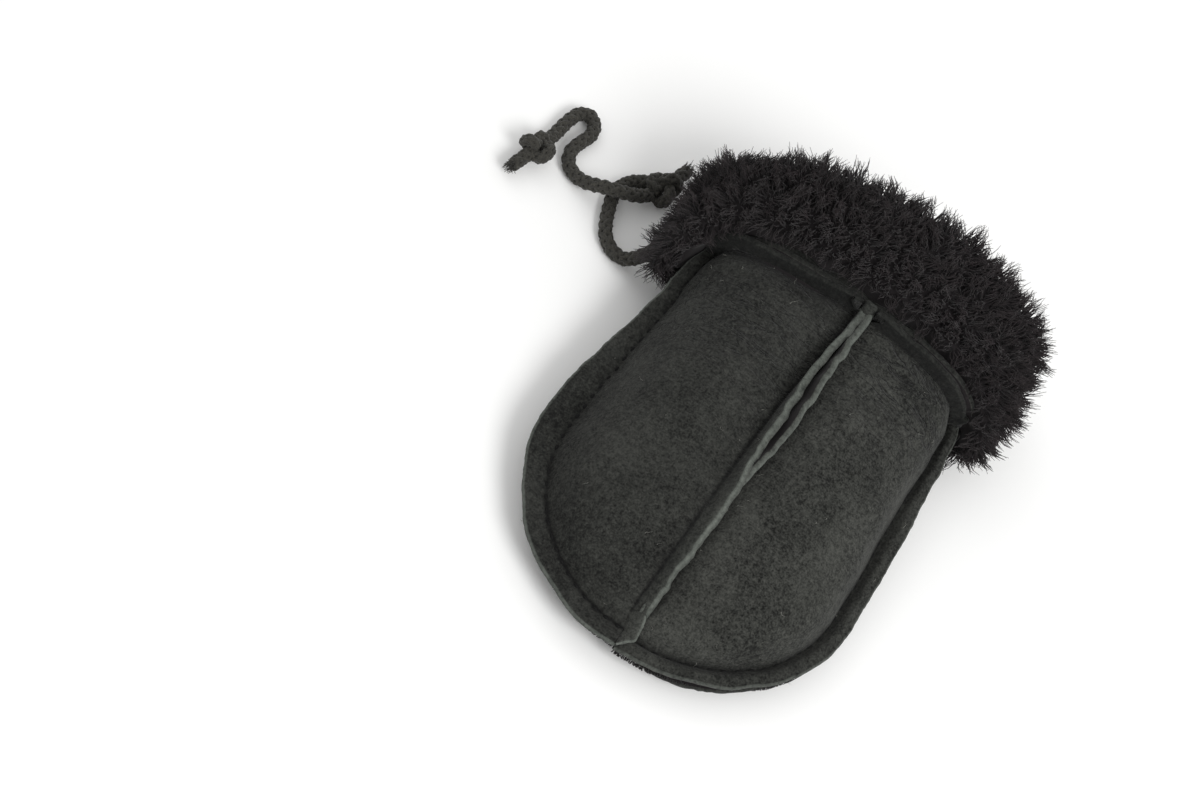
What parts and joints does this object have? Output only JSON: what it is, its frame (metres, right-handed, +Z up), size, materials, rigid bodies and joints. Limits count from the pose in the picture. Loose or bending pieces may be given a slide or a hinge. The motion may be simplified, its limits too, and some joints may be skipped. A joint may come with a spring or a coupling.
{
  "type": "child's sheepskin mitten",
  "caption": "Thumbless sheepskin mitten: suede outside, turned-out seams over the back and round the edge, deep wool cuff, and a braided cord from its side.",
  "frame": {"origin": "middle of the mitten's bounding box at the floor it lies on, the cord not counted", "axes": "+Z up out of the back of the hand, +Y from the fingertips to the open cuff, +X to the right seen from above with the fingertips towards the viewer"},
  "size_m": [0.15, 0.1406, 0.0484],
  "materials": {
    "suede": "matte napped",
    "wool": "matte curly pile",
    "braid": "matte braided"
  },
  "bodies": {
    "root": {"back_panel_left": "suede", "back_panel_right": "suede", "palm_panel": "suede", "cuff_band": "suede", "cuff_fur": "wool", "cord_loop": "braid", "cord_lead": "braid", "cord_knot": "braid", "cord_end_knot": "braid"}
  },
  "joints": []
}
